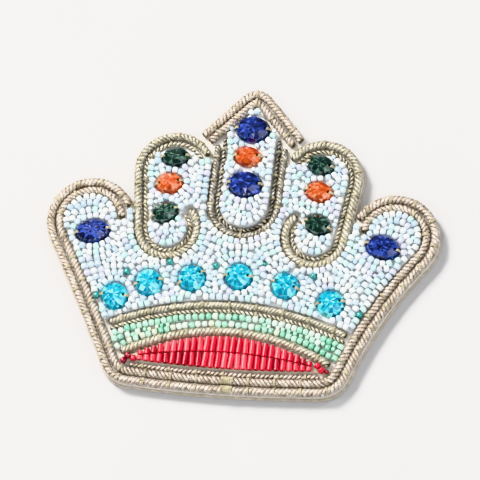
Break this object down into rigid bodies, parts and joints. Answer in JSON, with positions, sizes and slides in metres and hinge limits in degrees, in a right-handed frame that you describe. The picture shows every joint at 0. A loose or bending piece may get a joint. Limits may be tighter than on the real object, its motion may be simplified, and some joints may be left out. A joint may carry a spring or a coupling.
{
  "type": "beaded crown applique",
  "caption": "Flat-backed sew-on crown motif: felt base, couched metallic cord outline, padded seed-bead field, faceted sew-on stones and a band of tube beads along the foot.",
  "frame": {"origin": "middle of the flat back, under the centre of the crown's width and height", "axes": "+X across the crown, +Y from its foot to its peak, +Z out of its face"},
  "size_m": [0.108, 0.088, 0.0068],
  "materials": {
    "felt": "matt needle felt",
    "buckram": "stiff open weave",
    "face_cloth": "satin weave",
    "padding_felt": "matt felt",
    "white_beads": "pearl lustre",
    "mint_beads": "lined glass, glossy",
    "red_tubes": "glossy glass",
    "champagne_cord": "metallic yarn",
    "olive_cord": "metallic yarn",
    "bronze_cord": "metallic yarn",
    "thread": "silky thread",
    "blue_stone": "faceted, foil back",
    "green_stone": "faceted, foil back",
    "orange_stone": "faceted, foil back",
    "turquoise_stone": "faceted, foil back"
  },
  "bodies": {
    "root": {"backing_felt": "felt", "band_beads": "mint_beads", "band_cord_lower": "olive_cord", "band_cord_upper": "olive_cord", "blue_stone_left": "blue_stone", "blue_stone_low": "blue_stone", "blue_stone_right": "blue_stone", "blue_stone_top": "blue_stone", "border_cord_inner": "champagne_cord", "border_cord_outer": "champagne_cord", "couching_stitches": "thread", "face_cloth": "face_cloth", "field_beads": "white_beads", "field_padding": "padding_felt", "foot_cord": "champagne_cord", "green_stone_left_low": "green_stone", "green_stone_left_top": "green_stone", "green_stone_right_low": "green_stone", "green_stone_right_top": "green_stone", "join_stitches": "thread", "left_lobe_cord_inner": "olive_cord", "left_lobe_cord_outer": "olive_cord", "lens_padding": "padding_felt", "orange_stone_centre": "orange_stone", "orange_stone_left": "orange_stone", "orange_stone_right": "orange_stone", "panel_beads": "white_beads", "panel_cord_inner": "bronze_cord", "panel_cord_outer": "bronze_cord", "panel_padding": "padding_felt", "rail_cord": "olive_cord", "red_tubes": "red_tubes", "right_lobe_cord_inner": "olive_cord", "right_lobe_cord_outer": "olive_cord", "roof_cord_inner": "champagne_cord", "roof_cord_outer": "champagne_cord", "stiffening_buckram": "buckram", "turquoise_stone_1": "turquoise_stone", "turquoise_stone_2": "turquoise_stone", "turquoise_stone_3": "turquoise_stone", "turquoise_stone_4": "turquoise_stone", "turquoise_stone_5": "turquoise_stone", "turquoise_stone_6": "turquoise_stone"}
  },
  "joints": []
}
